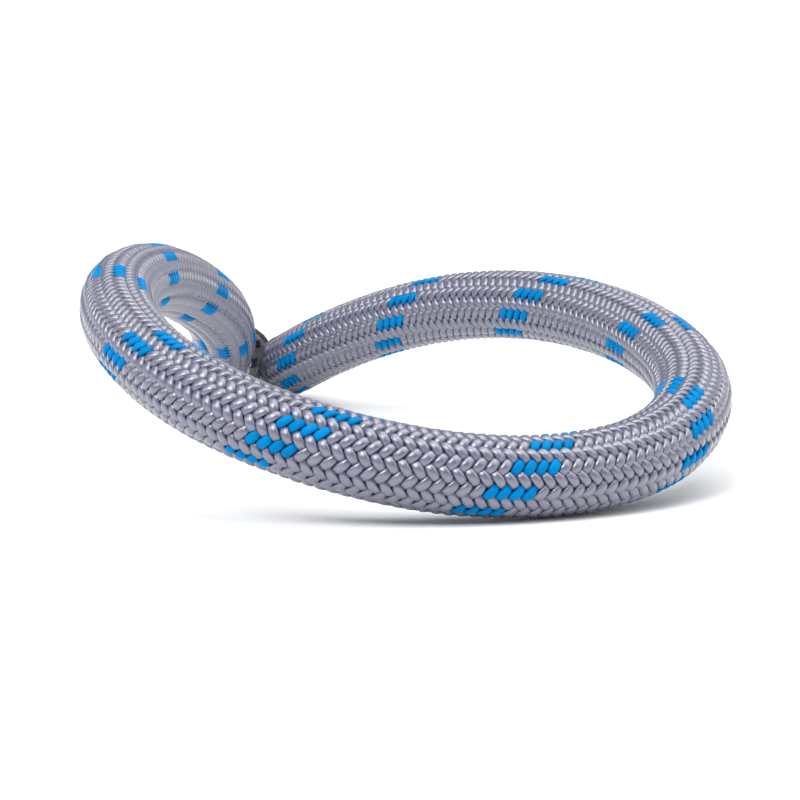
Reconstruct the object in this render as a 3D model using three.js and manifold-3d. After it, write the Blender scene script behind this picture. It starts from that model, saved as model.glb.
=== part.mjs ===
// Dynamic climbing rope: one bare length of kernmantle rope, bent into a tall-sided loop that stands
// on a flat surface on its front bend and, at the back, on its two cut ends. The left end reaches round
// behind the other one. A braided sheath goes round twelve parallel core strands and an identification
// thread, and a heat-sealed cap closes each end. Millimetres, +Z up, the surface at z = 0.

import * as THREE from 'three';
import { mergeVertices } from 'three/addons/utils/BufferGeometryUtils.js';
import Module from 'manifold-3d';

const wasm = await Module();
wasm.setup();

// ---- driving dimensions, mm ----
const ROPE_D = 10.0; // outside diameter of the sheath
const SHEATH_WALL = 1.3; // thickness of the braided wall
const STRAND_D = 1.3; // one core strand
const INNER_STRANDS = 3; // strands in the middle of the core
const INNER_RADIUS = 1.0; // from the rope's axis to those strands' axes
const OUTER_STRANDS = 9; // strands in the ring round them
const OUTER_RADIUS = 2.6;
const THREAD_D = 0.35; // identification thread
const THREAD_RADIUS = 3.33; // it lies in the groove between two outer strands
const CAP_LENGTH = 3.0; // melted cap at a cut end
const CAP_ROUND = 0.8; // rounding of the cap's rim
const GAP = 0.3; // between pieces that touch
const MIN_SELF_GAP = 0.4; // least space that the rope leaves to itself
const SAME_BEND = 4 * ROPE_D; // places nearer than this along the rope belong to one bend
const WELD = 1e-4; // corners closer than this are one corner

const SHEATH_SIDES = 12;
const STRAND_SIDES = 6;
const THREAD_SIDES = 5;
const STEPS = 48; // one step is under a diameter, because the tightest bend is under two diameters

// Control points of the rope's axis, a uniform cubic B-spline, from the back end round the right,
// the front and the raised left limb to the left end. Where the rope lies on the surface its axis is
// a tenth of the diameter lower than half a diameter, for the flat that is cut there.
const ROUTE = [
  [-20.5, 79.5, 8.0],
  [-21.0, 62.0, 1.8],
  [-15.5, 47.0, 7.0],
  [-4.5, 34.5, 13.0],
  [7.0, 22.5, 17.0],
  [19.5, 10.0, 18.5],
  [30.0, -3.5, 17.0],
  [36.5, -19.5, 14.0],
  [38.5, -36.5, 10.0],
  [31.5, -52.5, 5.0],
  [17.0, -63.0, 3.5],
  [0.0, -67.5, 5.5],
  [-17.0, -64.0, 10.0],
  [-29.5, -53.0, 15.0],
  [-36.5, -37.5, 20.0],
  [-38.0, -20.0, 23.0],
  [-35.0, -3.0, 23.5],
  [-31.5, 13.5, 20.5],
  [-27.5, 29.5, 15.5],
  [-27.5, 46.0, 8.5],
  [-30.8, 59.0, 3.7],
  [-23.5, 75.5, 5.0],
  [-6.0, 81.0, 5.0],
];
const FIRST_SPAN = 0.38; // where the rope starts and ends along the control points
const LAST_SPAN = 19.66;

const rope = new THREE.Group();

// ---- the rope's axis ----
function splinePoint(span) {
  const first = Math.min(Math.floor(span), ROUTE.length - 4);
  const u = span - first;
  const weights = [
    (1 - u) ** 3 / 6,
    (3 * u ** 3 - 6 * u ** 2 + 4) / 6,
    (-3 * u ** 3 + 3 * u ** 2 + 3 * u + 1) / 6,
    u ** 3 / 6,
  ];
  const point = new THREE.Vector3();
  weights.forEach((weight, i) => point.addScaledVector(new THREE.Vector3(...ROUTE[first + i]), weight));
  return point;
}

class Axis extends THREE.Curve {
  constructor(from, to) {
    super();
    this.from = from;
    this.to = to;
  }
  getPoint(t) {
    return splinePoint(this.from + (this.to - this.from) * t);
  }
}

// The place on the control points at a share of the rope's length.
function spanAt(share) {
  return FIRST_SPAN + wholeAxis.getUtoTmapping(share) * (LAST_SPAN - FIRST_SPAN);
}

const wholeAxis = new Axis(FIRST_SPAN, LAST_SPAN);
const ropeLength = wholeAxis.getLength();
const capShare = (CAP_LENGTH + GAP) / ropeLength;
const sheathAxis = new Axis(spanAt(capShare), spanAt(1 - capShare));

// ---- shapes ----
function polygon(Kind, radius, sides, x = 0, y = 0) {
  const outline = new Kind();
  for (let i = 0; i < sides; i++) {
    const angle = (2 * Math.PI * i) / sides;
    const corner = [x + radius * Math.cos(angle), y + radius * Math.sin(angle)];
    if (i === 0) outline.moveTo(...corner);
    else outline.lineTo(...corner);
  }
  outline.closePath();
  return outline;
}

function alongAxis(shape) {
  return new THREE.ExtrudeGeometry(shape, { steps: STEPS, extrudePath: sheathAxis, curveSegments: 1 });
}

function capGeometry() {
  const radius = ROPE_D / 2;
  const profile = [new THREE.Vector2(0, 0), new THREE.Vector2(radius, 0)];
  const rimSteps = 3;
  for (let i = 0; i <= rimSteps; i++) {
    const angle = (Math.PI / 2) * (i / rimSteps);
    const x = radius - CAP_ROUND + CAP_ROUND * Math.cos(angle);
    const y = CAP_LENGTH - CAP_ROUND + CAP_ROUND * Math.sin(angle);
    profile.push(new THREE.Vector2(x, y));
  }
  profile.push(new THREE.Vector2(0, CAP_LENGTH));
  return new THREE.LatheGeometry(profile, 2 * SHEATH_SIDES);
}

// ---- cutting the underside flat where the rope rests ----
function solidOf(geometry) {
  const bare = geometry.clone();
  bare.deleteAttribute('normal');
  bare.deleteAttribute('uv');
  const merged = mergeVertices(bare, WELD);
  return new wasm.Manifold(
    new wasm.Mesh({
      numProp: 3,
      vertProperties: new Float32Array(merged.attributes.position.array),
      triVerts: new Uint32Array(merged.index.array),
    }),
  );
}

function geometryOf(solid) {
  const mesh = solid.getMesh();
  const geometry = new THREE.BufferGeometry();
  geometry.setAttribute('position', new THREE.BufferAttribute(mesh.vertProperties, 3));
  geometry.setIndex(new THREE.BufferAttribute(mesh.triVerts, 1));
  geometry.computeVertexNormals();
  return geometry;
}

function cutAtSurface(geometry) {
  const size = 400;
  const ground = new THREE.BoxGeometry(size, size, size).translate(0, 0, -size / 2);
  return geometryOf(solidOf(geometry).subtract(solidOf(ground)));
}

// ---- materials ----
function nylon(color, roughness) {
  return new THREE.MeshStandardMaterial({ color, roughness, metalness: 0 });
}

function add(name, geometry, material) {
  const mesh = new THREE.Mesh(geometry, material);
  mesh.name = name;
  rope.add(mesh);
}

// ---- sheath ----
function buildSheath() {
  const wall = polygon(THREE.Shape, ROPE_D / 2, SHEATH_SIDES);
  wall.holes.push(polygon(THREE.Path, ROPE_D / 2 - SHEATH_WALL, SHEATH_SIDES));
  add('sheath', cutAtSurface(alongAxis(wall)), nylon(0x9694a5, 0.5));
}

// ---- core ----
function strandSection(angle, radius, diameter, sides) {
  return polygon(THREE.Shape, diameter / 2, sides, radius * Math.cos(angle), radius * Math.sin(angle));
}

function buildCore() {
  const groove = Math.PI / OUTER_STRANDS;
  const rings = [
    { count: INNER_STRANDS, radius: INNER_RADIUS, turn: groove },
    { count: OUTER_STRANDS, radius: OUTER_RADIUS, turn: 0 },
  ];
  let number = 0;
  for (const { count, radius, turn } of rings) {
    for (let i = 0; i < count; i++) {
      number += 1;
      const angle = turn + (2 * Math.PI * i) / count;
      const section = strandSection(angle, radius, STRAND_D, STRAND_SIDES);
      const name = `core_strand_${String(number).padStart(2, '0')}`;
      add(name, alongAxis(section), nylon(0xf1efe6, 0.6));
    }
  }
  const thread = strandSection(groove, THREAD_RADIUS, THREAD_D, THREAD_SIDES);
  add('marker_thread', alongAxis(thread), nylon(0xc23b2c, 0.6));
}

// ---- heat-sealed ends ----
function buildEnd(name, share, outwards) {
  const tangent = wholeAxis.getTangentAt(share).multiplyScalar(outwards);
  const innerFace = wholeAxis.getPointAt(share).addScaledVector(tangent, GAP);
  const cap = capGeometry();
  cap.applyQuaternion(new THREE.Quaternion().setFromUnitVectors(new THREE.Vector3(0, 1, 0), tangent));
  cap.translate(...innerFace.toArray());
  add(name, cutAtSurface(cap), nylon(0x6d6b78, 0.35));
}

// ---- how close the rope comes to itself ----
function leastSelfGap() {
  const samples = 400;
  const points = wholeAxis.getSpacedPoints(samples);
  const apart = Math.ceil((SAME_BEND * samples) / ropeLength);
  let least = Infinity;
  for (let i = 0; i < points.length; i++) {
    for (let j = i + apart; j < points.length; j++) {
      least = Math.min(least, points[i].distanceTo(points[j]));
    }
  }
  return least - ROPE_D;
}

buildSheath();
buildCore();
buildEnd('sealed_end_back', capShare, -1);
buildEnd('sealed_end_left', 1 - capShare, 1);

const selfGap = leastSelfGap();
console.log(`rope length ${ropeLength.toFixed(1)} mm, least gap to itself ${selfGap.toFixed(2)} mm`);
if (selfGap < MIN_SELF_GAP) throw new Error('the rope comes too close to itself');

export default rope;
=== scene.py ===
"""Dynamic climbing rope, dressed: each yarn of the braided sheath, the twisted core and the sealed ends.

Metres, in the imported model's frame. A place along the rope is counted in braid repeats. One repeat is
the length in which a yarn goes once over and once under the yarns that cross it, and repeat 0 is near
the middle of the front.
"""

import logging
import math
from dataclasses import dataclass, field
from enum import Enum

import bpy
import numpy as np
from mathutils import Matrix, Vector


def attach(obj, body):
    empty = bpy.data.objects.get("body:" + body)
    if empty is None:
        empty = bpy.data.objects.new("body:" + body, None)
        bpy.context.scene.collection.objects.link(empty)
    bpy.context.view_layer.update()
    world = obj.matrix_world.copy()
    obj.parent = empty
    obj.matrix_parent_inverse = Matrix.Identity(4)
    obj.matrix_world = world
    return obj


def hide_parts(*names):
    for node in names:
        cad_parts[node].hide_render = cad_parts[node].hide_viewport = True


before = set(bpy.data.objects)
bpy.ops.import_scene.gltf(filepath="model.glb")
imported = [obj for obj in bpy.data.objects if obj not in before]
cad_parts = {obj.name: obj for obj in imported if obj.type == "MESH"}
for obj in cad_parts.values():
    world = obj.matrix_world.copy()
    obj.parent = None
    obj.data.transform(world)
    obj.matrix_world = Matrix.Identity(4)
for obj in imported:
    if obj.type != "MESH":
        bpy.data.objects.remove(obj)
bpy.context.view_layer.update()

MM = 0.001
BAKE_MAP = "OFBake"  # the UV map that the tubes are laid out on
AVERAGE = 0.5  # of noise, and of a float's tone
MIX_INPUTS = (0, 6, 7)  # a Mix node's share and its two colours
MIX_COLOUR = 2  # its mixed colour
YARN_STEPS = 12  # in one repeat of a yarn
CORE_STEPS = 3  # in one repeat of a core strand
Triple = tuple[float, float, float]
Colour = Triple

log = logging.getLogger("climbing_rope")


def rgb(red: int, green: int, blue: int) -> Colour:
    """A colour as picked from a screen, 0 to 255, turned into the linear light that shaders take."""
    return tuple(((x / 255 + 0.055) / 1.055) ** 2.4 if x > 10 else x / 3294 for x in (red, green, blue))


# ---------------------------------------------------------------------------------------------------
# Shader maths


class Signal:
    """An output socket of a material, which adds its Math nodes as it is used in an expression.

    Attributes:
        graph: The graph that it belongs to.
        socket: The socket.
    """

    def __init__(self, graph: "Graph", socket: bpy.types.NodeSocket) -> None:
        """Wraps one output socket."""
        self.graph = graph
        self.socket = socket

    def maths(self, operation: str, *others: "Signal | float") -> "Signal":
        """A Math node on this signal and the others, in that order."""
        inputs = dict(enumerate([self, *others]))
        return self.graph.node("ShaderNodeMath", {"operation": operation}, inputs)

    def __add__(self, other: "Signal | float") -> "Signal":
        """self + other."""
        return self.maths("ADD", other)

    def __mul__(self, other: "Signal | float") -> "Signal":
        """self * other."""
        return self.maths("MULTIPLY", other)

    def __sub__(self, other: "Signal | float") -> "Signal":
        """self - other."""
        return self.maths("SUBTRACT", other)

    def __rsub__(self, other: float) -> "Signal":
        """other - self."""
        return self * -1.0 + other

    __radd__, __rmul__ = __add__, __mul__


class Graph:
    """The nodes of one material, with a Principled shader at the end.

    Attributes:
        material: The material.
        tree: Its nodes and links.
        shader: Its Principled shader.
    """

    def __init__(self, name: str) -> None:
        """Starts a material with nothing but its shader.

        Args:
            name: The material's name.
        """
        self.material = bpy.data.materials.new(name)
        self.material.use_nodes = True
        self.tree = self.material.node_tree
        self.tree.nodes.clear()
        self.shader = self.tree.nodes.new("ShaderNodeBsdfPrincipled")
        output = self.tree.nodes.new("ShaderNodeOutputMaterial")
        self.tree.links.new(self.shader.outputs[0], output.inputs["Surface"])

    def node(self, kind: str, settings: dict, inputs: dict, output: int | str = 0) -> Signal:
        """Adds any node.

        Args:
            kind: The node's type.
            settings: Its own settings, set before its sockets.
            inputs: A value or a Signal for each socket, by name or number.
            output: Which output to hand back.

        Returns:
            The chosen output.
        """
        made = self.tree.nodes.new(kind)
        for name, value in settings.items():
            setattr(made, name, value)
        for key, value in inputs.items():
            self.feed(made.inputs[key], value)
        return Signal(self, made.outputs[output])

    def feed(self, socket: bpy.types.NodeSocket, value: object) -> None:
        """Links a Signal to a socket, or sets a plain value on it.

        Args:
            socket: The input socket.
            value: A Signal, a number, a vector or a colour.
        """
        if isinstance(value, Signal):
            self.tree.links.new(value.socket, socket)
        elif socket.type == "RGBA" and len(value) == 3:
            socket.default_value = (*value, 1.0)
        else:
            socket.default_value = value

    def surface(self, **inputs: object) -> bpy.types.Material:
        """Feeds the Principled shader.

        Args:
            **inputs: A value or a Signal for each socket, by its name with _ for a space.

        Returns:
            The finished material.
        """
        for name, value in inputs.items():
            self.feed(self.shader.inputs[name.replace("_", " ")], value)
        return self.material

    def attribute(self, name: str, output: str = "Fac") -> Signal:
        """A mesh attribute, as a number or with output Vector as a vector."""
        return self.node("ShaderNodeAttribute", {"attribute_name": name}, {}, output)

    def noise(self, place: Signal, fineness: Triple, detail: float = 2.0, rough: float = 0.5) -> Signal:
        """Noise that is finer along one direction than along another.

        Args:
            place: The vector that it changes with.
            fineness: What each direction of place is multiplied by.
            detail: How many finer layers it has.
            rough: How strong those layers are.

        Returns:
            A number from 0 to 1.
        """
        scaled = self.node("ShaderNodeVectorMath", {"operation": "MULTIPLY"}, {0: place, 1: fineness})
        inputs = {"Vector": scaled, "Scale": 1.0, "Detail": detail, "Roughness": rough}
        return self.node("ShaderNodeTexNoise", {}, inputs)

    def between(self, share: Signal, low: float, high: float) -> Signal:
        """0 where share is low or less, 1 where it is high or more, and smooth in between."""
        settings = {"interpolation_type": "SMOOTHSTEP"}
        return self.node("ShaderNodeMapRange", settings, {"Value": share, 1: low, 2: high})

    def blend(
        self, share: Signal | float, start: Signal | Colour, end: Signal | Colour, way: str = "MIX"
    ) -> Signal:
        """Mixes two colours.

        Args:
            share: 0 for the start colour, 1 for the end colour.
            start: The start colour.
            end: The end colour.
            way: How they are mixed, in the Mix node's own words.

        Returns:
            The mixed colour.
        """
        settings = {"data_type": "RGBA", "blend_type": way}
        inputs = dict(zip(MIX_INPUTS, (share, start, end)))
        return self.node("ShaderNodeMix", settings, inputs, MIX_COLOUR)

    def bump(self, height: Signal, depth: float) -> Signal:
        """The normal of a surface raised by height, up to depth in metres."""
        inputs = {"Height": height, "Distance": depth, "Strength": 1.0}
        return self.node("ShaderNodeBump", {}, inputs, "Normal")


@dataclass(frozen=True)
class Finish:
    """What a piece is made of.

    Attributes:
        name: The material's name.
        slot: The record's slot for it.
    """

    name: str
    slot: str


@dataclass(frozen=True)
class YarnFinish(Finish):
    """Glossy multifilament nylon: fine filaments run along it, and painted shade makes it darker down
    between the floats.

    Attributes:
        crown: Colour on top of a float.
        painted_shade_hollow: Painted shade: the darker colour down between the floats.
        melted: Colour where the yarns are fused.
        painted_shade_relief: The relief at which the painted shade between the floats ends, and at which the
            crown's colour is full.
        tone_change: How much lighter or darker than the others a float may be.
        filament_shade: How much the filaments lighten and darken it.
        roughness: How dull the nylon is under its coat.
        filament_roughness: How much that changes between filaments.
        melted_roughness: How much duller it is where the yarns are fused.
        filaments_per_mm: How fine the filaments are across the yarn.
        filament_run_mm: How far along the yarn their pattern lasts.
        bundle_width: How many times wider than the filaments a bundle of them is.
        bundle_run: How many times further its pattern lasts.
        filament_relief: The filaments' share of the relief.
        bundle_relief: The bundles' share of the relief.
        melted_smoothness: The share of the relief that is lost where the yarns are fused.
        relief_depth: How deep the relief is.
        gloss: How strongly the nylon reflects.
        coat: The weight of its silky coat, which gives each float its broad highlight.
        coat_ior: The coat's refractive index: how bright the highlight is.
        coat_roughness: How broad the highlight is.
        sheen: The weight of the soft light along the yarn's edges.
        sheen_roughness: How far in from the edges that light reaches.
    """

    crown: Colour
    painted_shade_hollow: Colour
    melted: Colour
    painted_shade_relief: tuple[float, float] = (0.2, 0.8)
    tone_change: float = 0.10
    filament_shade: float = 0.5
    roughness: float = 0.21
    filament_roughness: float = 0.12
    melted_roughness: float = 0.25
    filaments_per_mm: float = 15.0
    filament_run_mm: float = 2.4
    bundle_width: float = 4.0
    bundle_run: float = 2.0
    filament_relief: float = 0.6
    bundle_relief: float = 0.4
    melted_smoothness: float = 0.85
    relief_depth: float = 0.03 * MM
    gloss: float = 0.5
    coat: float = 1.0
    coat_ior: float = 2.1
    coat_roughness: float = 0.38
    sheen: float = 0.1
    sheen_roughness: float = 0.4

    def material(self) -> bpy.types.Material:
        """Builds the finish.

        Returns:
            Its material.
        """
        graph = Graph(self.name)
        fibre = graph.attribute("fibre", "Vector")
        fine = self.filaments_per_mm
        run = 1 / self.filament_run_mm
        filaments = graph.noise(fibre, (run, fine, fine), detail=3.0, rough=0.6)
        coarse = fine / self.bundle_width
        bundles = graph.noise(fibre, (run / self.bundle_run, coarse, coarse), detail=1.0)
        # Painted shade: where the relief is low, down between the floats, the colour goes to the darker
        # hollow colour.
        crown = graph.between(graph.attribute("relief"), *self.painted_shade_relief)
        body = graph.blend(crown, self.painted_shade_hollow, self.crown)
        tone = (graph.attribute("tone") - AVERAGE) * (2 * self.tone_change)
        shade = tone + (filaments - AVERAGE) * self.filament_shade + 1.0
        grey = graph.node("ShaderNodeCombineColor", {}, {0: shade, 1: shade, 2: shade})
        toned = graph.blend(1.0, body, grey, "MULTIPLY")
        melt = graph.attribute("melt")
        dullness = (filaments - AVERAGE) * self.filament_roughness + self.roughness
        relief = filaments * self.filament_relief + bundles * self.bundle_relief
        return graph.surface(
            Base_Color=graph.blend(melt, toned, self.melted),
            Roughness=dullness + melt * self.melted_roughness,
            Normal=graph.bump(relief * (1.0 - melt * self.melted_smoothness), self.relief_depth),
            Specular_IOR_Level=self.gloss,
            Coat_Weight=(1.0 - melt) * self.coat,
            Coat_IOR=self.coat_ior,
            Coat_Roughness=self.coat_roughness,
            Sheen_Weight=self.sheen,
            Sheen_Roughness=self.sheen_roughness,
        )


@dataclass(frozen=True)
class StrandFinish(Finish):
    """Twisted core yarn, matt beside the sheath, with its filaments along the plies.

    Attributes:
        colour: Colour on top of a ply.
        groove: Painted shade: the darker colour down between the plies.
        painted_shade_relief: The relief at which the painted shade in the grooves ends, and at which the
            ply's colour is full.
        filaments_per_mm: How fine the filaments are across the strand.
        filament_run_mm: How far along the strand their pattern lasts.
        dark_from: The filament noise above which the groove's colour shows on a ply as well.
        dark_share: How strongly it shows there.
        roughness: How dull the strand is.
        filament_roughness: How much that changes between filaments.
        relief_depth: How deep the filaments' relief is.
        sheen: The weight of the soft light along the strand's edges.
        sheen_roughness: How far in from the edges that light reaches.
    """

    colour: Colour
    groove: Colour
    painted_shade_relief: tuple[float, float] = (0.0, 0.7)
    filaments_per_mm: float = 12.0
    filament_run_mm: float = 2.0
    dark_from: float = 0.35
    dark_share: float = 0.5
    roughness: float = 0.55
    filament_roughness: float = 0.2
    relief_depth: float = 0.05 * MM
    sheen: float = 0.3
    sheen_roughness: float = 0.45

    def material(self) -> bpy.types.Material:
        """Builds the finish.

        Returns:
            Its material.
        """
        graph = Graph(self.name)
        fibre = graph.attribute("fibre", "Vector")
        fine = self.filaments_per_mm
        filaments = graph.noise(fibre, (1 / self.filament_run_mm, fine, fine), detail=3.0, rough=0.6)
        # Painted shade: where the relief is low, in the grooves between the plies, the colour goes to the
        # darker groove colour.
        crown = graph.between(graph.attribute("relief"), *self.painted_shade_relief)
        body = graph.blend(crown, self.groove, self.colour)
        return graph.surface(
            Base_Color=graph.blend((filaments - self.dark_from) * self.dark_share, body, self.groove),
            Roughness=(filaments - AVERAGE) * self.filament_roughness + self.roughness,
            Normal=graph.bump(filaments, self.relief_depth),
            Sheen_Weight=self.sheen,
            Sheen_Roughness=self.sheen_roughness,
        )


@dataclass(frozen=True)
class MeltedFinish(Finish):
    """Nylon melted over a cut end: glassy, with the core's strands fused pale in the middle.

    Attributes:
        rim: Colour of the melted sheath.
        middle: Colour of the fused core.
        scorched: Colour where the heat has caught it.
        core_radius_mm: How far the fused core reaches.
        edge_blur_mm: How far it fades to either side of that.
        edge_wander_mm: How unevenly it ends.
        clouds_per_mm: How fine the clouds are that scorch it and make it uneven.
        grains_per_mm: How fine its grain is.
        strands_per_mm: How fine the fused strands are.
        strand_edge: Where a strand's pale middle ends, and where the melted colour is full.
        scorch_cloud: The cloud at which scorching starts, and at which it is full.
        roughness: How dull it is at least.
        grain_roughness: How much duller the grain makes it.
        cloud_relief: The clouds' share of the relief.
        grain_relief: The grain's share of the relief.
        relief_depth: How deep the relief is.
        coat: The weight of its glassy skin.
        coat_roughness: How dull that skin is.
    """

    rim: Colour
    middle: Colour
    scorched: Colour
    core_radius_mm: float = 3.3
    edge_blur_mm: float = 0.5
    edge_wander_mm: float = 1.6
    clouds_per_mm: float = 0.55
    grains_per_mm: float = 2.6
    strands_per_mm: float = 0.7
    strand_edge: tuple[float, float] = (0.25, 0.75)
    scorch_cloud: tuple[float, float] = (0.52, 0.72)
    roughness: float = 0.12
    grain_roughness: float = 0.3
    cloud_relief: float = 0.7
    grain_relief: float = 0.3
    relief_depth: float = 0.25 * MM
    coat: float = 0.35
    coat_roughness: float = 0.15

    def material(self) -> bpy.types.Material:
        """Builds the finish.

        Returns:
            Its material.
        """
        graph = Graph(self.name)
        place = graph.attribute("on_end", "Vector")
        cloud = graph.noise(place, (self.clouds_per_mm,) * 3, detail=4.0)
        grain = graph.noise(place, (self.grains_per_mm,) * 3, detail=3.0)
        flat = graph.node("ShaderNodeVectorMath", {"operation": "MULTIPLY"}, {0: place, 1: (1.0, 1.0, 0.0)})
        radius = graph.node("ShaderNodeVectorMath", {"operation": "LENGTH"}, {0: flat}, "Value")
        core, blur = self.core_radius_mm, self.edge_blur_mm
        edge = graph.between(radius + (cloud - AVERAGE) * self.edge_wander_mm, core - blur, core + blur)
        cells = {"Vector": flat, "Scale": self.strands_per_mm}
        strands = graph.node("ShaderNodeTexVoronoi", {"feature": "SMOOTH_F1"}, cells, "Distance")
        pale = graph.blend(graph.between(strands, *self.strand_edge), self.middle, self.rim)
        face = graph.blend(edge, pale, self.rim)
        return graph.surface(
            Base_Color=graph.blend(graph.between(cloud, *self.scorch_cloud), face, self.scorched),
            Roughness=grain * self.grain_roughness + self.roughness,
            Normal=graph.bump(cloud * self.cloud_relief + grain * self.grain_relief, self.relief_depth),
            Coat_Weight=self.coat,
            Coat_Roughness=self.coat_roughness,
        )


@dataclass(frozen=True)
class FloorFinish:
    """Plain pale table.

    Attributes:
        name: The material's name.
        colour: Its colour.
        roughness: How dull it is.
    """

    name: str = "pale_floor"
    colour: Colour = (0.89, 0.90, 0.90)
    roughness: float = 0.6

    def material(self) -> bpy.types.Material:
        """Builds the material."""
        return Graph(self.name).surface(Base_Color=self.colour, Roughness=self.roughness)


GREY_YARN = YarnFinish("grey_yarn", "sheath_yarn", rgb(71, 73, 101), rgb(61, 63, 97), rgb(12, 11, 14))
BLUE_YARN = YarnFinish(
    "blue_yarn",
    "tracer_yarn",
    rgb(0, 117, 178),
    rgb(0, 66, 120),
    rgb(8, 18, 30),
    gloss=0.03,
    coat=0.0,
    sheen=0.0,
)
CORE_YARN = StrandFinish("core_yarn", "core_yarn", rgb(241, 239, 230), rgb(168, 164, 150))
THREAD_YARN = StrandFinish("marker_yarn", "thread", rgb(194, 59, 44), rgb(110, 24, 18))
MELTED_NYLON = MeltedFinish(
    "melted_nylon", "melted_nylon", rgb(72, 71, 88), rgb(118, 116, 120), rgb(42, 41, 50)
)
SCORCHED_NYLON = MeltedFinish(
    "scorched_nylon", "melted_nylon", rgb(22, 21, 26), rgb(66, 64, 62), rgb(12, 11, 13)
)


# ---------------------------------------------------------------------------------------------------
# The rope's own line


def unit(vectors: np.ndarray) -> np.ndarray:
    """The vectors at length 1."""
    return vectors / np.linalg.norm(vectors, axis=-1, keepdims=True)


def ease(share: np.ndarray) -> np.ndarray:
    """A share from 0 to 1 that starts and stops gently."""
    return share * share * (3 - 2 * share)


def distance_along(points: np.ndarray) -> np.ndarray:
    """How far along the points each of them lies."""
    return np.concatenate([[0], np.cumsum(np.linalg.norm(np.diff(points, axis=0), axis=1))])


@dataclass(frozen=True)
class Route:
    """The rope's middle line as a uniform cubic B-spline, from the back end to the left end.

    Attributes:
        lift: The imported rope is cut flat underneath, and the round one stands higher, on its yarns.
        first_span: Where the rope starts, counted in spans of the spline.
        last_span: Where it ends.
        front_span: Where repeat 0 is.
        repeats_per_span: Braid repeats in one span.
        points: The control points.
    """

    lift: float = 0.9 * MM
    first_span: float = 0.38
    last_span: float = 19.66
    front_span: float = 9.0
    repeats_per_span: float = 6.0
    points: tuple[Triple, ...] = (
        (-0.0205, 0.0795, 0.0080),
        (-0.0210, 0.0620, 0.0018),
        (-0.0155, 0.0470, 0.0070),
        (-0.0045, 0.0345, 0.0130),
        (0.0070, 0.0225, 0.0170),
        (0.0195, 0.0100, 0.0185),
        (0.0300, -0.0035, 0.0170),
        (0.0365, -0.0195, 0.0140),
        (0.0385, -0.0365, 0.0100),
        (0.0315, -0.0525, 0.0050),
        (0.0170, -0.0630, 0.0035),
        (0.0000, -0.0675, 0.0055),
        (-0.0170, -0.0640, 0.0100),
        (-0.0295, -0.0530, 0.0150),
        (-0.0365, -0.0375, 0.0200),
        (-0.0380, -0.0200, 0.0230),
        (-0.0350, -0.0030, 0.0235),
        (-0.0315, 0.0135, 0.0205),
        (-0.0275, 0.0295, 0.0155),
        (-0.0275, 0.0460, 0.0085),
        (-0.0308, 0.0590, 0.0037),
        (-0.0235, 0.0755, 0.0050),
        (-0.0060, 0.0810, 0.0050),
    )

    def repeat_at(self, span: float) -> float:
        """The braid repeat at a place on the spline."""
        return (span - self.front_span) * self.repeats_per_span

    def ends(self) -> tuple[float, float]:
        """The repeats at which the rope starts and ends."""
        return self.repeat_at(self.first_span), self.repeat_at(self.last_span)

    def at(self, repeats: np.ndarray) -> np.ndarray:
        """Works out points of the middle line.

        Args:
            repeats: Where they lie, in braid repeats.

        Returns:
            The points.
        """
        points = np.array(self.points) + (0, 0, self.lift)
        span = repeats / self.repeats_per_span + self.front_span
        first = np.minimum(np.floor(span).astype(int), len(points) - 4)
        u = (span - first)[:, None]
        weights = (
            (1 - u) ** 3 / 6,
            (3 * u**3 - 6 * u**2 + 4) / 6,
            (-3 * u**3 + 3 * u**2 + 3 * u + 1) / 6,
            u**3 / 6,
        )
        return sum(weight * points[first + i] for i, weight in enumerate(weights))


class Line:
    """The middle line at even repeats, with two directions across it that don't twist about it.

    Attributes:
        repeats: The places, in braid repeats.
        centre: The points.
        forward: The direction along the rope.
        up: The direction across it that points up at repeat 0.
        side: The direction across both.
        curve: The way that the rope bends, as long as 1 over the bend's radius.
    """

    def __init__(self, route: Route, start: float, stop: float, per_repeat: int) -> None:
        """Samples a route.

        Args:
            route: The rope's route.
            start: First repeat.
            stop: Last repeat.
            per_repeat: Steps in one repeat.
        """
        steps = round((stop - start) * per_repeat)
        self.repeats = start + np.arange(steps + 1) / per_repeat
        self.centre = route.at(self.repeats)
        nudge = 0.01  # of a repeat
        chord = route.at(self.repeats + nudge) - route.at(self.repeats - nudge)
        self.forward = unit(chord)
        metres_per_repeat = np.linalg.norm(chord, axis=1) / (2 * nudge)
        turn = np.gradient(self.forward, self.repeats, axis=0)
        self.curve = turn / metres_per_repeat[:, None]
        self.up = self.carried()
        self.side = np.cross(self.forward, self.up)

    def carried(self) -> np.ndarray:
        """Carries the up direction both ways from repeat 0 by double reflection.

        Returns:
            The up direction at each point.
        """
        front = int(np.argmin(np.abs(self.repeats)))
        lean_back = math.radians(7.0)  # as the camera does, so that it is up in the camera's view
        start = np.array([0.0, math.sin(lean_back), math.cos(lean_back)])
        start -= self.forward[front] * (start @ self.forward[front])
        up = np.zeros_like(self.centre)
        up[front] = unit(start)
        for way in (1, -1):
            here = front
            while 0 <= here + way < len(up):
                there = here + way
                chord = self.centre[there] - self.centre[here]
                length = chord @ chord
                carried = up[here] - chord * (2 / length * (chord @ up[here]))
                mirrored = self.forward[here] - chord * (2 / length * (chord @ self.forward[here]))
                plane = self.forward[there] - mirrored
                up[there] = carried - plane * (2 / (plane @ plane) * (plane @ carried))
                here = there
        return up

    def across(self, angle: np.ndarray) -> np.ndarray:
        """The direction across the rope at each point, at this angle from up."""
        return np.cos(angle)[:, None] * self.up + np.sin(angle)[:, None] * self.side

    def length(self) -> float:
        """The line's length."""
        return float(np.linalg.norm(np.diff(self.centre, axis=0), axis=1).sum())


# ---------------------------------------------------------------------------------------------------
# Tubes of any section along a line


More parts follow.
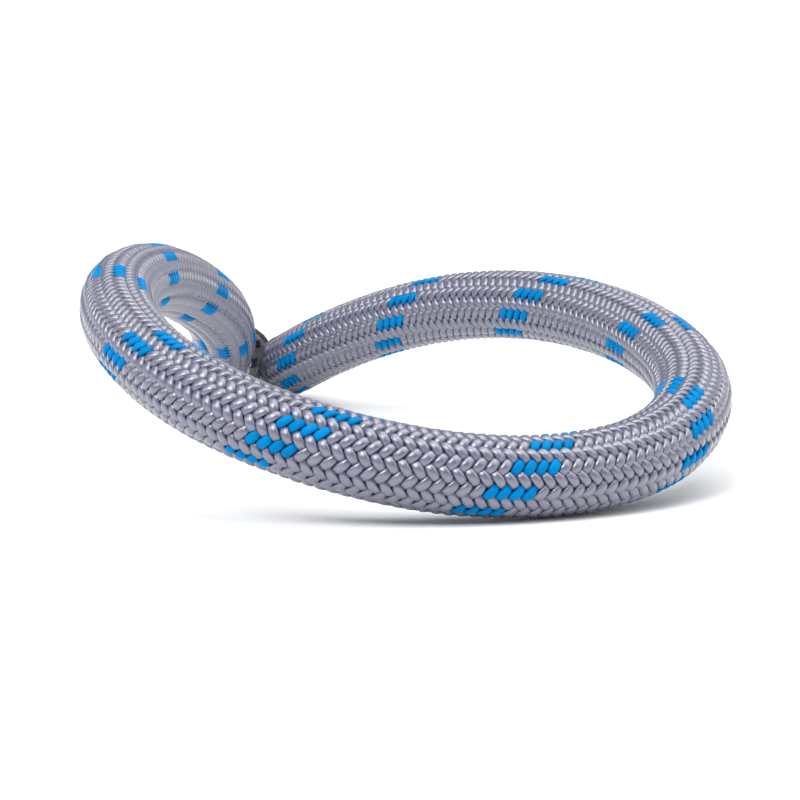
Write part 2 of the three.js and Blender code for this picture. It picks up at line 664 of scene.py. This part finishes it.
@dataclass
class Tube:
    """A closed tube: its rings, and what its material reads at each point.

    Attributes:
        rings: Points, by ring and by place round the ring.
        fibre: Along the yarn and across its section, in millimetres, for the filaments.
        values: A number for each point, by the attribute's name.
    """

    rings: np.ndarray
    fibre: np.ndarray
    values: dict[str, np.ndarray]


def angles_round(sides: int) -> np.ndarray:
    """Even angles round a section, one for each side."""
    return 2 * math.pi * np.arange(sides) / sides


def fibre_places(along: np.ndarray, angle: np.ndarray, radius: float) -> np.ndarray:
    """Places for the filaments' pattern, from how far along a yarn they are and where round it."""
    along = np.broadcast_to(along, angle.shape)
    return np.stack([along, radius * np.cos(angle), radius * np.sin(angle)], -1)


def tube_mesh(name: str, tubes: list[Tube]) -> bpy.types.Object:
    """Makes one object of closed tubes.

    Args:
        name: The object's name.
        tubes: Tubes that all have the same number of rings and sides.

    Returns:
        The new object, at the origin, with smooth faces that point outwards.
    """
    rings, sides, _ = tubes[0].rings.shape
    ring, place = np.meshgrid(np.arange(rings - 1), np.arange(sides), indexing="ij")
    after = (place + 1) % sides
    near, far = ring * sides, (ring + 1) * sides
    quads = np.stack([near + place, far + place, far + after, near + after], -1).reshape(-1, 4)
    lids = np.stack([np.arange(sides), np.arange(sides)[::-1] + (rings - 1) * sides])
    count, per_tube = len(tubes), rings * sides
    shift = np.arange(count)[:, None, None] * per_tube
    corners = np.concatenate([(quads[None] + shift).ravel(), (lids[None] + shift).ravel()])
    quad_starts = np.arange(count * len(quads)) * 4
    lid_starts = quad_starts[-1] + 4 + np.arange(2 * count) * sides

    mesh = bpy.data.meshes.new(name)
    mesh.vertices.add(count * per_tube)
    mesh.vertices.foreach_set("co", np.concatenate([tube.rings.reshape(-1) for tube in tubes]))
    mesh.loops.add(len(corners))
    mesh.loops.foreach_set("vertex_index", corners.astype(np.int32))
    mesh.polygons.add(len(quad_starts) + len(lid_starts))
    mesh.polygons.foreach_set("loop_start", np.concatenate([quad_starts, lid_starts]).astype(np.int32))
    mesh.update(calc_edges=True)
    mesh.shade_smooth()

    fibre = mesh.attributes.new("fibre", "FLOAT_VECTOR", "POINT")
    fibre.data.foreach_set("vector", np.concatenate([tube.fibre.reshape(-1) for tube in tubes]))
    for key in tubes[0].values:
        numbers = np.concatenate([tube.values[key].reshape(-1) for tube in tubes])
        mesh.attributes.new(key, "FLOAT", "POINT").data.foreach_set("value", numbers.astype(np.float32))
    lay_out_strips(mesh, rings, sides, count)

    made = bpy.data.objects.new(name, mesh)
    bpy.context.scene.collection.objects.link(made)
    return made


def lay_out_strips(mesh: bpy.types.Mesh, rings: int, sides: int, count: int) -> None:
    """Lays each tube out on the map as rows of a page, so that its pattern keeps its detail there.

    Args:
        mesh: A mesh of equal tubes, their side faces first, tube by tube.
        rings: Rings of a tube.
        sides: Sides of a ring.
        count: Tubes.
    """
    slenderness = 200.0  # roughly a tube's length over its girth
    margin = 0.04  # of a row, bare along both its edges
    rows = max(1, round(math.sqrt(slenderness / count)))
    per_row = math.ceil((rings - 1) / rows)
    ring = np.arange(rings - 1)
    left = (ring % per_row) / per_row
    right = left + 1 / per_row
    edge = margin + (1 - 2 * margin) * np.arange(sides + 1) / sides
    floor = (np.arange(count)[:, None] * rows + ring // per_row)[..., None]
    low, high = (floor + edge[:-1]) / (count * rows), (floor + edge[1:]) / (count * rows)
    u = np.broadcast_to(np.stack([left, right, right, left], -1)[None, :, None], (*low.shape, 4))
    v = np.stack([low, low, high, high], -1)
    quads = np.stack([u, v], -1).reshape(-1)
    lids = np.zeros(len(mesh.loops) * 2 - len(quads))
    layer = mesh.uv_layers.new(name=BAKE_MAP)
    layer.uv.foreach_set("vector", np.concatenate([quads, lids]).astype(np.float32))


# ---------------------------------------------------------------------------------------------------
# The sheath


class Hand(Enum):
    """Which way a yarn goes round as it runs forward along the rope."""

    BACKWARD = -1
    FORWARD = 1


def wander(rng: np.random.Generator, repeats: np.ndarray, amount: float) -> np.ndarray:
    """A number that wanders smoothly along a yarn, with a new value at each repeat.

    Args:
        rng: The yarn's own source of random numbers.
        repeats: The yarn's places, in braid repeats.
        amount: How far it usually strays from 0.

    Returns:
        The number at each place.
    """
    place = repeats - repeats[0]
    first = np.floor(place).astype(int)
    share = ease(place - first)
    values = rng.normal(0, amount, first[-1] + 2)
    return values[first] * (1 - share) + values[first + 1] * share


@dataclass
class Sheath:
    """The braid: 18 yarns each way, over two and under two.

    Attributes:
        line: The rope's middle line, as far as the yarns run.
        diameter: Outside the floats' crowns.
        yarns_each_way: Yarns of one hand.
        blue_yarns: Neighbouring yarns of one hand that are blue.
        turn: How far a yarn goes round in one repeat: two yarns' spacing.
        set_turn: How far the braid as a whole is turned at repeat 0, and for each repeat after it.
        yarn_width: A yarn's width where it lies on top.
        waist: The share of that width that it loses where it dives under.
        waist_power: How late it narrows where it dives.
        yarn_thickness: The same yarn's thickness.
        fullness: How full its section is: 1 for an ellipse, and fuller below that.
        swing: How far its middle goes out and in.
        squareness: How quickly it changes from over to under.
        shortness: How early it dives, so that a float is shorter than half a repeat.
        slant: How far the float's ends are turned off its even course round the rope.
        bend_power: How strongly it narrows where a bend presses the yarns together: 1 is in proportion.
        stray_out: How far it strays out and in.
        stray_round: How far it strays round the rope.
        stray_width: The share by which its width strays.
        melted_repeats: How far the yarns are fused and blackened, from the back end and from the left end.
        melted_flatness: The share of its swing that it loses where it is fused.
        melted_sink: How far it sinks there.
        filament_twist: How far its filaments turn about it, in radians in a millimetre.
        filament_radius_mm: Half its width, for the filaments' pattern.
        pattern_shift_mm: How far along its filaments' pattern moves for each number, and for its hand.
        painted_shade_power: How soon it counts as deep where it dives, so that painted shade darkens it
            there.
        painted_flank_shade: The share of its crown's height that its flanks count as, so that painted shade
            darkens its flanks.
        sides: Corners of its section.
        pieces_each_way: Pieces that one hand's grey yarns are dealt out to.
        pieces: The finished pieces.
    """

    line: Line
    diameter: float = 10 * MM
    yarns_each_way: int = 18
    blue_yarns: tuple[int, ...] = (16, 17, 0, 1)
    turn: float = math.radians(40)
    set_turn: tuple[float, float] = (math.radians(-35), math.radians(0.24))
    yarn_width: float = 1.15 * MM
    waist: float = 0.26
    waist_power: float = 1.5
    yarn_thickness: float = 0.76 * MM
    fullness: float = 0.84
    swing: float = 0.43 * MM
    squareness: float = 2.0
    shortness: float = 0.3
    slant: float = math.radians(1.1)
    bend_power: float = 0.6
    stray_out: float = 0.018 * MM
    stray_round: float = math.radians(0.25)
    stray_width: float = 0.03
    melted_repeats: tuple[float, float] = (0.4, 5.2)
    melted_flatness: float = 0.45
    melted_sink: float = 0.15 * MM
    filament_twist: float = 0.5
    filament_radius_mm: float = 0.5
    pattern_shift_mm: tuple[float, float] = (700.0, 350.0)
    painted_shade_power: float = 1.6
    painted_flank_shade: float = 0.3
    sides: int = 10
    pieces_each_way: int = 3
    pieces: list[bpy.types.Object] = field(default_factory=list)

    def yarn(self, hand: Hand, number: int) -> Tube:
        """Works out one yarn.

        Args:
            hand: Which way it goes round.
            number: Which of the yarns of that hand it is.

        Returns:
            Its tube.
        """
        line = self.line
        rng = np.random.default_rng(100 * number + 10 + hand.value)
        spacing = 2 * math.pi / self.yarns_each_way
        offset = spacing / 2 if hand is Hand.BACKWARD else 0.0
        lay = hand.value * self.turn * line.repeats + offset + spacing * number
        phase = 2 * math.pi * lay / self.turn
        over = -hand.value * np.cos(phase)
        slant = -hand.value * self.slant * np.sin(phase)
        angle = lay + slant + self.set_turn[0] + self.set_turn[1] * line.repeats
        melt = self.melt()
        profile = self.profile(over) * (1 - self.melted_flatness * melt)
        radius = self.diameter / 2 - self.yarn_thickness / 2 + self.swing * (profile - 1)
        radius += wander(rng, line.repeats, self.stray_out) - self.melted_sink * melt
        outward = line.across(angle + wander(rng, line.repeats, self.stray_round))
        stretch = 1 - radius * (line.curve * outward).sum(1)
        centre = line.centre + radius[:, None] * outward
        along = unit(np.gradient(centre, axis=0))
        out = unit(outward - along * (outward * along).sum(1, keepdims=True))
        across = np.cross(along, out)

        plump = 1 - self.waist * ((1 - over) / 2) ** self.waist_power
        strayed = 1 + wander(rng, line.repeats, self.stray_width)
        width = self.yarn_width * plump * stretch**self.bend_power * strayed
        angles = angles_round(self.sides)
        section = np.stack([np.cos(angles), np.sin(angles)], -1)
        section = np.sign(section) * np.abs(section) ** self.fullness
        wide = across[:, None] * (width[:, None] * section[:, 0] / 2)[..., None]
        thick = out[:, None] * (self.yarn_thickness * section[:, 1] / 2)[None, :, None]
        rings = centre[:, None] + wide + thick

        run = distance_along(centre)[:, None] / MM
        twisted = angles[None] + self.filament_twist * run
        number_shift, hand_shift = self.pattern_shift_mm
        pattern = run + number_shift * number + hand_shift * hand.value
        fibre = fibre_places(pattern, twisted, self.filament_radius_mm)

        floats = np.floor(lay / self.turn + (0.0 if hand is Hand.FORWARD else 0.5)).astype(int)
        tones = rng.random(floats.max() - floats.min() + 1)[floats - floats.min()]
        # Painted shade mask: the relief is low where the yarn dives under and on its flanks and inner side,
        # and the finish paints it darker there.
        flank_shade_share = self.painted_flank_shade + (1 - self.painted_flank_shade) * np.clip(section[:, 1], 0, 1)[None]
        height = ((profile[:, None] + 1) / 2) ** self.painted_shade_power * flank_shade_share
        same = np.ones((1, self.sides))
        values = {"relief": height, "tone": tones[:, None] * same, "melt": melt[:, None] * same}
        return Tube(rings, fibre, values)

    def profile(self, over: np.ndarray) -> np.ndarray:
        """How far out the yarn is, from 1 down to -1, for how nearly it is over (1) or under (-1)."""
        low, top, here = (np.tanh(self.squareness * (x - self.shortness)) for x in (-1, 1, over))
        return (here - low) / (top - low) * 2 - 1

    def melt(self) -> np.ndarray:
        """Works out how far the yarns are fused.

        Returns:
            1 from each of the rope's ends to half as far as the heat has reached, falling to 0 there.
        """
        repeats = self.line.repeats
        back, left = self.melted_repeats
        near = np.maximum(1 - (repeats - repeats[0]) / back, 1 - (repeats[-1] - repeats) / left)
        return ease(np.clip(near * 2, 0, 1))

    def build(self) -> None:
        """Makes the yarns, in pieces of a few yarns each."""
        plain = [n for n in range(self.yarns_each_way) if n not in self.blue_yarns]
        everyone = list(range(self.yarns_each_way))
        share = self.pieces_each_way
        groups = [("blue_yarns", Hand.BACKWARD, self.blue_yarns)]
        groups += [(f"grey_yarns_a{i + 1}", Hand.BACKWARD, plain[i::share]) for i in range(share)]
        groups += [(f"grey_yarns_b{i + 1}", Hand.FORWARD, everyone[i::share]) for i in range(share)]
        for name, hand, numbers in groups:
            self.pieces.append(tube_mesh(name, [self.yarn(hand, number) for number in numbers]))

    def dress(self) -> None:
        """Gives the yarns their finishes, and hides the smooth sheath that they stand for."""
        materials = {finish: finish.material() for finish in (GREY_YARN, BLUE_YARN)}
        for piece in self.pieces:
            finish = BLUE_YARN if piece.name.startswith("blue") else GREY_YARN
            piece.data.materials.append(materials[finish])
            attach(piece, "root")
            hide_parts("sheath")


# ---------------------------------------------------------------------------------------------------
# The core


@dataclass
class Core:
    """Twelve parallel strands, each of three plies twisted together, and the identification thread.

    Attributes:
        line: The rope's middle line, as far as the strands run.
        strand_radius: A strand's own radius.
        inner_strands: Strands in the middle.
        inner_radius: From the rope's middle line to those strands'.
        outer_strands: Strands in the ring round them.
        outer_radius: From the rope's middle line to those strands'.
        thread_radius: The thread's own radius.
        thread_place: From the rope's middle line to the thread's.
        plies: Plies in a strand.
        ply_depth: The share of a strand's radius that its grooves swing it by.
        twist_run: How far along the strand one groove takes to come round to the next one's place.
        filament_radius_mm: A strand's radius, for the filaments' pattern.
        pattern_shift_mm: How far apart the strands' patterns start.
        sides: Corners of a strand's section.
    """

    line: Line
    strand_radius: float = 0.72 * MM
    inner_strands: int = 3
    inner_radius: float = 0.98 * MM
    outer_strands: int = 9
    outer_radius: float = 2.72 * MM
    thread_radius: float = 0.2 * MM
    thread_place: float = 3.5 * MM
    plies: int = 3
    ply_depth: float = 0.16
    twist_run: float = 5 * MM
    filament_radius_mm: float = 0.7
    pattern_shift_mm: float = 400.0
    sides: int = 12

    def strand(self, place: float, angle: float, radius: float, seed: int) -> Tube:
        """Works out one strand.

        Args:
            place: From the rope's middle line to the strand's.
            angle: Where round the rope it lies.
            radius: Its own radius.
            seed: Sets where its plies start, and which way they are twisted.

        Returns:
            Its tube.
        """
        line = self.line
        centre = line.centre + place * line.across(np.full(len(line.centre), angle))
        run = distance_along(centre)[:, None]
        angles = angles_round(self.sides)[None]
        way = 1 if seed % 2 else -1
        twist = way * 2 * math.pi * run / self.twist_run / self.plies
        turned = self.plies * (angles + twist + seed)
        reach = radius * (1 - self.ply_depth + self.ply_depth * np.cos(turned))
        sideways, upwards = -np.cos(angles)[..., None], np.sin(angles)[..., None]
        direction = sideways * line.side[:, None] + upwards * line.up[:, None]
        rings = centre[:, None] + reach[..., None] * direction
        fibre = fibre_places(run / MM + self.pattern_shift_mm * seed, turned, self.filament_radius_mm)
        # Painted shade mask: the relief is low in the grooves between the plies, and the finish paints them
        # darker there.
        return Tube(rings, fibre, {"relief": (np.cos(turned) + 1) / 2})

    def build(self) -> list[bpy.types.Object]:
        """Makes the strands and the thread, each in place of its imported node.

        Returns:
            The strands, and then the thread.
        """
        material = CORE_YARN.material()
        made = []
        groove = math.pi / self.outer_strands
        rings = (
            (self.inner_strands, self.inner_radius, groove),
            (self.outer_strands, self.outer_radius, 0.0),
        )
        for count, place, first in rings:
            for i in range(count):
                number = len(made) + 1
                angle = first + 2 * math.pi * i / count
                tube = self.strand(place, angle, self.strand_radius, number)
                made.append(self.finish(f"twisted_strand_{number:02d}", tube, material, CORE_YARN))
                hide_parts(f"core_strand_{number:02d}")
        thread = self.strand(self.thread_place, groove, self.thread_radius, len(made) + 1)
        made.append(self.finish("twisted_marker", thread, THREAD_YARN.material(), THREAD_YARN))
        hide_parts("marker_thread")
        return made

    def finish(
        self, name: str, tube: Tube, material: bpy.types.Material, finish: StrandFinish
    ) -> bpy.types.Object:
        """Makes one strand's object and dresses it.

        Args:
            name: The object's name.
            tube: Its shape.
            material: Its material.
            finish: The finish that the material shows; not used.

        Returns:
            The object.
        """
        piece = tube_mesh(name, [tube])
        piece.data.materials.append(material)
        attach(piece, "root")
        return piece


# ---------------------------------------------------------------------------------------------------
# The sealed ends


def select_only(piece: bpy.types.Object) -> None:
    """Selects one object and makes it the active one.

    Args:
        piece: The object.
    """
    bpy.ops.object.select_all(action="DESELECT")
    piece.select_set(True)
    bpy.context.view_layer.objects.active = piece


@dataclass
class SealedEnd:
    """A cut end, melted into a hard cap that swells a little over the last of the yarns.

    Attributes:
        name: The cap's name.
        node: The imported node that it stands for.
        centre: Where the rope ends.
        outward: The direction in which it ends.
        seed: Sets its pattern apart from the other cap's.
        radius: Its radius before it is rounded and swells.
        length: Its length.
        sides: Corners of its section before it is rounded.
        face_rings_mm: How far inwards of the last each ring of the cut face is, and how far out of it.
        rounding: How many times it is rounded.
        swell: How far it swells.
        swell_size: How wide the swellings are.
        pattern_shift_mm: How far apart the two caps' patterns are.
    """

    name: str
    node: str
    centre: Vector
    outward: Vector
    seed: int = 0
    radius: float = 4.95 * MM
    length: float = 3.0 * MM
    sides: int = 40
    face_rings_mm: tuple[tuple[float, float], ...] = (
        (0.35, 0.30),
        (0.70, 0.22),
        (1.00, 0.06),
        (1.20, -0.05),
        (0.90, -0.04),
    )
    rounding: int = 2
    swell: float = 0.45 * MM
    swell_size: float = 2.2 * MM
    pattern_shift_mm: int = 20

    def build(self) -> bpy.types.Object:
        """Models the cap at the origin, with its cut face towards +Z.

        Returns:
            The cap.
        """
        bpy.ops.mesh.primitive_cylinder_add(
            vertices=self.sides, radius=self.radius, depth=self.length, location=(0, 0, 0)
        )
        cap = bpy.context.object
        cap.name = cap.data.name = self.name
        select_only(cap)
        self.choose_face(cap)
        bpy.ops.object.mode_set(mode="EDIT")
        for inwards, outwards in self.face_rings_mm:
            bpy.ops.mesh.inset(thickness=inwards * MM)
            bpy.ops.transform.translate(value=(0, 0, outwards * MM))
        bpy.ops.mesh.poke()
        bpy.ops.mesh.select_all(action="SELECT")
        bpy.ops.mesh.subdivide(number_cuts=1)
        bpy.ops.mesh.normals_make_consistent(inside=False)
        bpy.ops.object.mode_set(mode="OBJECT")
        self.roughen(cap)
        return cap

    def choose_face(self, cap: bpy.types.Object) -> None:
        """Selects the face that looks along +Z, and nothing else.

        Args:
            cap: The cap.
        """
        nearly_up = 0.9
        for part in (cap.data.vertices, cap.data.edges, cap.data.polygons):
            for item in part:
                item.select = False
        for face in cap.data.polygons:
            face.select = face.normal.z > nearly_up

    def roughen(self, cap: bpy.types.Object) -> None:
        """Rounds the cap, makes it uneven and applies both.

        Args:
            cap: The cap.
        """
        smooth = cap.modifiers.new("rounding", "SUBSURF")
        smooth.levels = smooth.render_levels = self.rounding
        clouds = bpy.data.textures.new(f"{self.name}_swell", "CLOUDS")
        clouds.noise_scale = self.swell_size
        swell = cap.modifiers.new("swell", "DISPLACE")
        swell.texture = clouds
        swell.strength = self.swell
        swell.mid_level = AVERAGE
        for modifier in (smooth.name, swell.name):
            bpy.ops.object.modifier_apply(modifier=modifier)
        cap.data.shade_smooth()

    def place(self, cap: bpy.types.Object) -> None:
        """Records each point's place on the cap, then turns the cap outwards at the rope's end.

        Args:
            cap: The cap.
        """
        local = np.zeros(len(cap.data.vertices) * 3, np.float32)
        cap.data.vertices.foreach_get("co", local)
        shift = self.pattern_shift_mm * self.seed * np.tile([0, 0, 1], len(local) // 3)
        on_end = cap.data.attributes.new("on_end", "FLOAT_VECTOR", "POINT")
        on_end.data.foreach_set("vector", local / MM + shift)
        select_only(cap)
        cap.rotation_mode = "QUATERNION"
        cap.rotation_quaternion = self.outward.to_track_quat("Z", "Y")
        cap.location = self.centre - self.outward * (self.length / 2)
        bpy.ops.object.transform_apply(location=True, rotation=True, scale=True)

    def dress(self, cap: bpy.types.Object, finish: MeltedFinish) -> None:
        """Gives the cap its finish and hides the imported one.

        Args:
            cap: The cap.
            finish: Its finish.
        """
        cap.data.materials.append(finish.material())
        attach(cap, "root")
        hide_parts(self.node)


def build_ends(whole: Line) -> list[bpy.types.Object]:
    """Builds both sealed ends.

    Args:
        whole: The whole rope's middle line.

    Returns:
        The two caps.
    """
    caps = []
    ends = (
        ("melted_end_back", "sealed_end_back", 0, -1, MELTED_NYLON),
        ("melted_end_left", "sealed_end_left", -1, 1, SCORCHED_NYLON),
    )
    for seed, (name, node, at, way, finish) in enumerate(ends):
        end = SealedEnd(name, node, Vector(whole.centre[at]), Vector(way * whole.forward[at]), seed)
        cap = end.build()
        end.place(cap)
        end.dress(cap, finish)
        caps.append(cap)
    return caps


# ---------------------------------------------------------------------------------------------------
# Table, light and camera


@dataclass(frozen=True)
class Lamp:
    """A square soft light that looks at the rope.

    Attributes:
        name: Its name.
        place: Where it hangs.
        size: Its side.
        power: In watts.
    """

    name: str
    place: Triple
    size: float
    power: float

    def hang(self) -> None:
        """Puts the light into the scene."""
        data = bpy.data.lights.new(self.name, "AREA")
        data.size = self.size
        data.energy = self.power
        lamp = bpy.data.objects.new(self.name, data)
        lamp.location = self.place
        lamp.rotation_euler = (-Vector(self.place)).to_track_quat("-Z", "Y").to_euler()
        bpy.context.scene.collection.objects.link(lamp)


@dataclass
class Studio:
    """A pale table in a white room under four soft lights, and the camera at the photograph's angle.

    Attributes:
        table: The table's side.
        lamps: The lights.
        backdrop: How bright the wall behind the rope is.
        front_wall: How bright the wall behind the camera is.
        ceiling: How bright the ceiling is.
        wall_change: How far back a direction points where the wall starts to brighten, and where it is done.
        ceiling_change: How far up a direction points where the ceiling starts, and where it is all ceiling.
        camera_place: Where the camera stands.
        camera_dip: How far it looks down.
        camera_near: The least distance at which it sees.
        lens_mm: Its focal length.
        film_mm: The width of its picture, to go with the lens.
    """

    table: float = 0.9
    lamps: tuple[Lamp, ...] = (
        Lamp("overhead", (0.11, 0.08, 0.81), 0.80, 4.8),
        Lamp("key", (-0.46, -0.78, 1.16), 0.80, 17.5),
        Lamp("left", (-0.64, -0.20, 0.42), 0.30, 1.2),
        Lamp("right", (0.58, -0.12, 0.60), 0.90, 4.2),
    )
    backdrop: float = 1.2
    front_wall: float = 0.9
    ceiling: float = 0.3
    wall_change: tuple[float, float] = (-0.3, 0.5)
    ceiling_change: tuple[float, float] = (0.08, 0.30)
    camera_place: Triple = (-0.0004, -0.3911, 0.0545)
    camera_dip: float = math.radians(7.0)
    camera_near: float = 0.01
    lens_mm: float = 126.0
    film_mm: float = 36.0

    def build(self) -> None:
        """Makes all of it."""
        bpy.context.scene.view_settings.view_transform = "Standard"
        bpy.ops.mesh.primitive_plane_add(size=self.table, location=(0, 0, 0))
        floor = bpy.context.object
        floor.name = "table"
        floor.data.materials.append(FloorFinish().material())
        for lamp in self.lamps:
            lamp.hang()
        self.room()
        self.camera()

    def room(self) -> None:
        """Surrounds the table with walls, brightest behind the rope, under a dimmer ceiling."""
        world = bpy.data.worlds.new("white_room")
        world.use_nodes = True
        nodes, links = world.node_tree.nodes, world.node_tree.links
        direction = nodes.new("ShaderNodeTexCoord")
        parts = nodes.new("ShaderNodeSeparateXYZ")
        depth, rise = (nodes.new("ShaderNodeMapRange") for _ in range(2))
        links.new(direction.outputs["Generated"], parts.inputs[0])
        for ramp, axis, change, start, end in (
            (depth, "Y", self.wall_change, self.front_wall, self.backdrop),
            (rise, "Z", self.ceiling_change, self.backdrop, self.ceiling),
        ):
            links.new(parts.outputs[axis], ramp.inputs["Value"])
            ramp.inputs["From Min"].default_value, ramp.inputs["From Max"].default_value = change
            ramp.inputs["To Min"].default_value = start
            ramp.inputs["To Max"].default_value = end
        links.new(depth.outputs[0], rise.inputs["To Min"])
        links.new(rise.outputs[0], nodes["Background"].inputs["Strength"])
        nodes["Background"].inputs["Color"].default_value = (1, 1, 1, 1)
        bpy.context.scene.world = world

    def camera(self) -> None:
        """Sets up the camera."""
        data = bpy.data.cameras.new("camera")
        data.lens = self.lens_mm
        data.sensor_width = self.film_mm
        data.clip_start = self.camera_near
        camera = bpy.data.objects.new("camera", data)
        camera.location = self.camera_place
        camera.rotation_euler = (math.pi / 2 - self.camera_dip, 0, 0)
        bpy.context.scene.collection.objects.link(camera)
        bpy.context.scene.camera = camera


# ---------------------------------------------------------------------------------------------------


def main() -> None:
    logging.basicConfig(level=logging.INFO, format="%(message)s")
    route = Route()
    first, last = route.ends()
    in_cap = 0.8  # repeats at each end that are all cap
    whole = Line(route, first, last, YARN_STEPS)
    sheath = Sheath(Line(route, first + in_cap, last - in_cap, YARN_STEPS))
    sheath.build()
    sheath.dress()
    strands = Core(Line(route, first + in_cap, last - in_cap, CORE_STEPS)).build()
    caps = build_ends(whole)
    for piece in (*sheath.pieces, *strands, *caps):
        log.info("%s: %d faces", piece.name, len(piece.data.polygons))
    length = whole.length()
    log.info("rope: %.1f mm long", length / MM)
    Studio().build()


if __name__ == "__main__":
    main()
